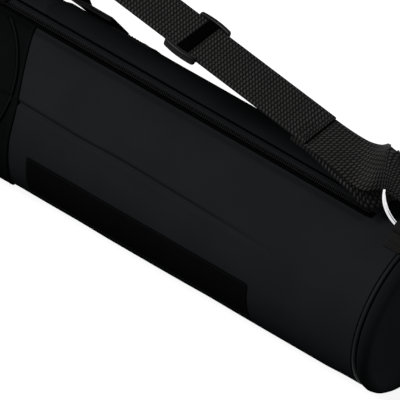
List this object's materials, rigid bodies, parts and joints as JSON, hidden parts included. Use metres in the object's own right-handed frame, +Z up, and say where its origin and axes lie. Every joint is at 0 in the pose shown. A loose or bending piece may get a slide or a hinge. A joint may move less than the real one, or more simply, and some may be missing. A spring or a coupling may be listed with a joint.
{
  "type": "padded carrying tube bag",
  "caption": "Long padded cloth tube with a zipped fold-back lid, shoulder strap on rings and a carry handle, for rolled drawings or folded stands.",
  "frame": {"origin": "centre of the flattened underside, on the floor, at mid-length", "axes": "+X along the tube towards the label's end, -Y out of the labelled front, +Z up"},
  "size_m": [1.0844, 0.2056, 0.2827],
  "materials": {
    "cloth": "coated nylon pack cloth, black",
    "dark_cloth": "coated nylon pack cloth, black, smoother",
    "foam": "closed-cell padding",
    "lining": "thin woven lining",
    "piping": "bound seam piping, black",
    "label": "smooth bare label patch",
    "zip_tape": "woven zip tape",
    "zip_coil": "nylon coil",
    "zip_metal": "black enamelled zinc",
    "webbing": "woven polypropylene webbing, black",
    "ring_chrome": "polished plated steel wire",
    "adjuster_plastic": "moulded acetal, black"
  },
  "bodies": {
    "bag": {"front_panel_right": "cloth", "front_panel_left": "cloth", "centre_wrap": "cloth", "bottom_panel": "cloth", "back_panel": "cloth", "end_collar_right": "cloth", "end_collar_left": "cloth", "foam_front": "foam", "foam_bottom": "foam", "foam_back": "foam", "foam_collar_right": "foam", "foam_collar_left": "foam", "lining": "lining", "end_foam_right": "foam", "end_foam_left": "foam", "end_piping_right": "piping", "end_piping_left": "piping", "end_panel_right": "dark_cloth", "end_panel_left": "dark_cloth", "label_patch": "label", "pocket_panel": "dark_cloth", "pocket_piping": "piping", "pocket_zip_coil": "zip_coil", "zip_tape_front": "zip_tape", "zip_coil_front": "zip_coil", "ring_tab_right": "webbing", "ring_tab_left": "webbing"},
    "lid": {"lid_panel": "cloth", "lid_foam": "foam", "lid_lining": "lining", "top_panel_right": "cloth", "top_panel_left": "cloth", "zip_tape_rear": "zip_tape", "zip_coil_rear": "zip_coil", "handle_foot_right": "webbing", "handle_foot_left": "webbing"},
    "slider_right": {"zip_slider_right": "zip_metal"},
    "slider_left": {"zip_slider_left": "zip_metal"},
    "pull_right": {"zip_pull_right": "zip_metal"},
    "pull_left": {"zip_pull_left": "zip_metal"},
    "pocket_slider": {"pocket_zip_slider": "zip_metal"},
    "pocket_pull": {"pocket_zip_pull": "zip_metal"},
    "handle": {"carry_handle": "webbing"},
    "strap": {"shoulder_strap": "webbing", "strap_eye_right": "webbing", "strap_eye_left": "webbing", "d_ring_right": "ring_chrome", "d_ring_left": "ring_chrome"},
    "adjuster": {"strap_adjuster": "adjuster_plastic"}
  },
  "joints": [
    {"name": "lid_fold", "type": "hinge", "parent": "bag", "child": "lid", "pos_m": [0, 0.08717, 0.07457], "axis": [-1, 0, 0], "range_deg": [0, 110], "deforming": ["zip_tape_rear", "zip_coil_rear"]},
    {"name": "zip_slide_right", "type": "slide", "parent": "bag", "child": "slider_right", "axis": [1, 0, 0], "range_m": [0, 0.456]},
    {"name": "zip_slide_left", "type": "slide", "parent": "bag", "child": "slider_left", "axis": [-1, 0, 0], "range_m": [0, 0.456]},
    {"name": "zip_pull_right_flip", "type": "hinge", "parent": "slider_right", "child": "pull_right", "pos_m": [0.007, 0.00991, 0.1727], "axis": [0, -0.9941, 0.1089], "range_deg": [0, 85]},
    {"name": "zip_pull_left_flip", "type": "hinge", "parent": "slider_left", "child": "pull_left", "pos_m": [-0.007, 0.00991, 0.1727], "axis": [0, 0.9941, -0.1089], "range_deg": [0, 85]},
    {"name": "pocket_zip_slide", "type": "slide", "parent": "bag", "child": "pocket_slider", "axis": [1, 0, 0], "range_m": [0, 0.06]},
    {"name": "pocket_pull_flip", "type": "hinge", "parent": "pocket_slider", "child": "pocket_pull", "pos_m": [-0.03, -0.02001, 0.17634], "axis": [0, -0.9781, -0.2079], "range_deg": [0, 150]},
    {"name": "handle_rock", "type": "hinge", "parent": "lid", "child": "handle", "pos_m": [0, 0.08141, 0.1292], "axis": [1, 0, 0], "range_deg": [-12, 12]},
    {"name": "strap_swing", "type": "hinge", "parent": "bag", "child": "strap", "pos_m": [0, 0.004, 0.1757], "axis": [1, 0, 0], "range_deg": [-12, 70]},
    {"name": "adjuster_slide", "type": "slide", "parent": "strap", "child": "adjuster", "axis": [0.9885, -0.034, -0.1474], "range_m": [-0.12, 0.12]}
  ]
}
